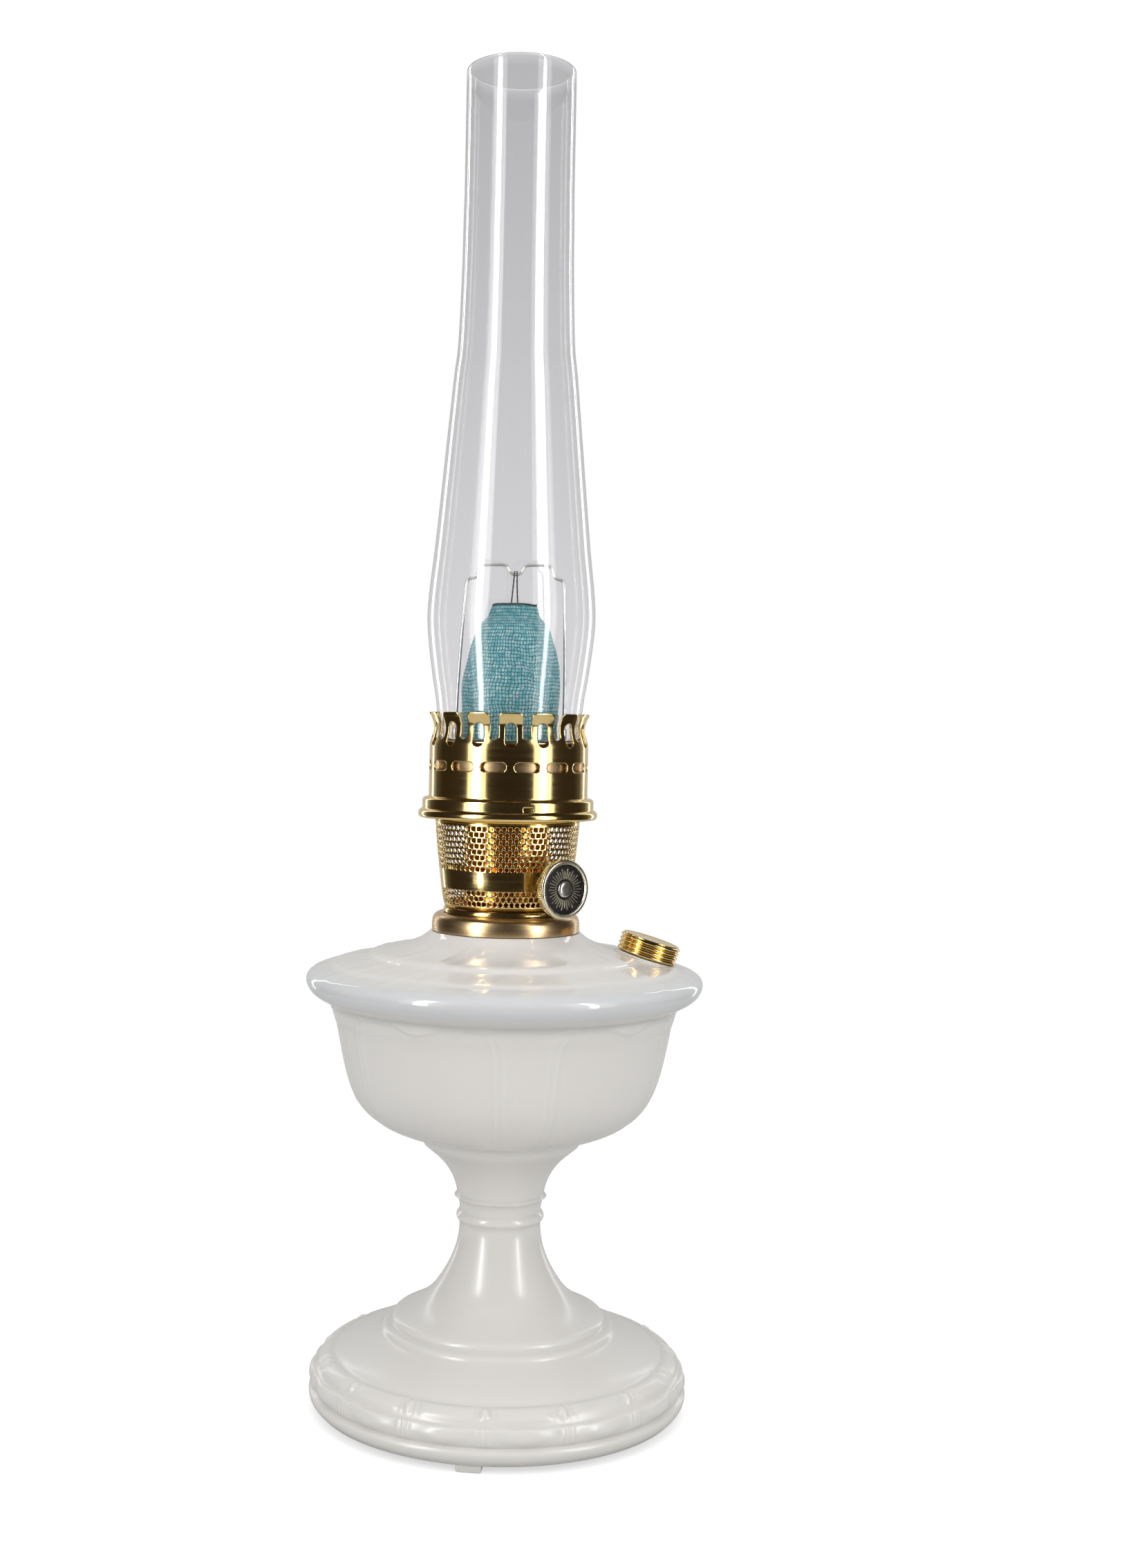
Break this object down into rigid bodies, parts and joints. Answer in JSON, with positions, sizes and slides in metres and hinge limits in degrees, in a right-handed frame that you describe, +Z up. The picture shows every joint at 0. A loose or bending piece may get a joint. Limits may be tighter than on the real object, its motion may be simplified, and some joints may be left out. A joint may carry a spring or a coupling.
{
  "type": "oil lamp",
  "caption": "Mantle oil lamp: glass font on a turned foot, round-wick brass burner with a fingered gallery, bail mantle, screw filler cap and tall chimney.",
  "frame": {"origin": "on the table, under the middle of the foot", "axes": "+Z up along the lamp's axis, +X towards the filler cap, -Y towards the front"},
  "size_m": [0.1822, 0.1822, 0.6145],
  "materials": {
    "opal_glass": "glossy white opal glass",
    "clear_glass": "clear polished",
    "polished_brass": "polished",
    "satin_brass": "satin",
    "nickel_brass": "pale polished",
    "steel": "drawn wire",
    "plaster": "matte plaster",
    "rubber": "matte",
    "wick_cotton": "woven cotton",
    "mantle_net": "knitted net",
    "black_thread": "cotton thread",
    "black_enamel": "semi-gloss enamel"
  },
  "bodies": {
    "font": {"font_glass": "opal_glass", "collar_cement": "plaster", "font_collar": "satin_brass", "filler_neck": "polished_brass"},
    "filler_seal": {"filler_gasket": "rubber"},
    "filler_cap": {"filler_cap": "polished_brass"},
    "burner": {"burner_base": "satin_brass", "burner_basket": "polished_brass", "shaft_gland": "polished_brass", "gallery_lock_ring": "polished_brass", "outer_wick_tube": "satin_brass", "inner_wick_tube": "satin_brass"},
    "spreader": {"flame_spreader": "satin_brass"},
    "wick": {"wick": "wick_cotton", "wick_rack": "satin_brass"},
    "knob": {"wick_pinion": "satin_brass", "wick_shaft": "steel", "wick_knob": "nickel_brass", "knob_face": "black_enamel", "knob_rivet": "polished_brass"},
    "gallery": {"gallery_shell": "polished_brass", "gallery_cone": "satin_brass"},
    "chimney": {"chimney": "clear_glass"},
    "mantle": {"mantle_ring": "steel", "mantle": "mantle_net", "mantle_cord": "black_thread", "mantle_thread_left": "black_thread", "mantle_thread_right": "black_thread", "mantle_bail": "steel", "bail_ferrule_left": "steel", "bail_ferrule_right": "steel"}
  },
  "joints": [
    {"name": "filler_seal_lift", "type": "slide", "parent": "font", "child": "filler_seal", "axis": [0.2857, 0, 0.9583], "range_m": [0, 0.0081]},
    {"name": "filler_cap_turn", "type": "hinge", "parent": "filler_seal", "child": "filler_cap", "pos_m": [0.0646, 0, 0.205], "axis": [0.2857, 0, 0.9583], "range_deg": [0, 720]},
    {"name": "burner_lift", "type": "slide", "parent": "font", "child": "burner", "axis": [0, 0, 1], "range_m": [0, 0.1]},
    {"name": "spreader_lift", "type": "slide", "parent": "burner", "child": "spreader", "axis": [0, 0, 1], "range_m": [0, 0.025]},
    {"name": "wick_turn", "type": "hinge", "parent": "burner", "child": "knob", "pos_m": [0, 0, 0.24], "axis": [0.6018, -0.7986, 0], "range_deg": [-72, 143]},
    {"name": "wick_lift", "type": "slide", "parent": "burner", "child": "wick", "axis": [0, 0, 1], "range_m": [-0.0101, 0.0051]},
    {"name": "gallery_turn", "type": "hinge", "parent": "burner", "child": "gallery", "pos_m": [0, 0, 0.27], "axis": [0, 0, 1], "range_deg": [0, 24]},
    {"name": "chimney_lift", "type": "slide", "parent": "gallery", "child": "chimney", "axis": [0, 0, 1], "range_m": [0, 0.14]},
    {"name": "mantle_turn", "type": "hinge", "parent": "gallery", "child": "mantle", "pos_m": [0, 0, 0.305], "axis": [0, 0, 1], "range_deg": [0, 24]}
  ],
  "couplings": [
    {"joint": "filler_seal_lift", "follows": "filler_cap_turn", "m_per_rad": 0.00063662},
    {"joint": "wick_lift", "follows": "wick_turn", "m_per_rad": -0.004}
  ]
}
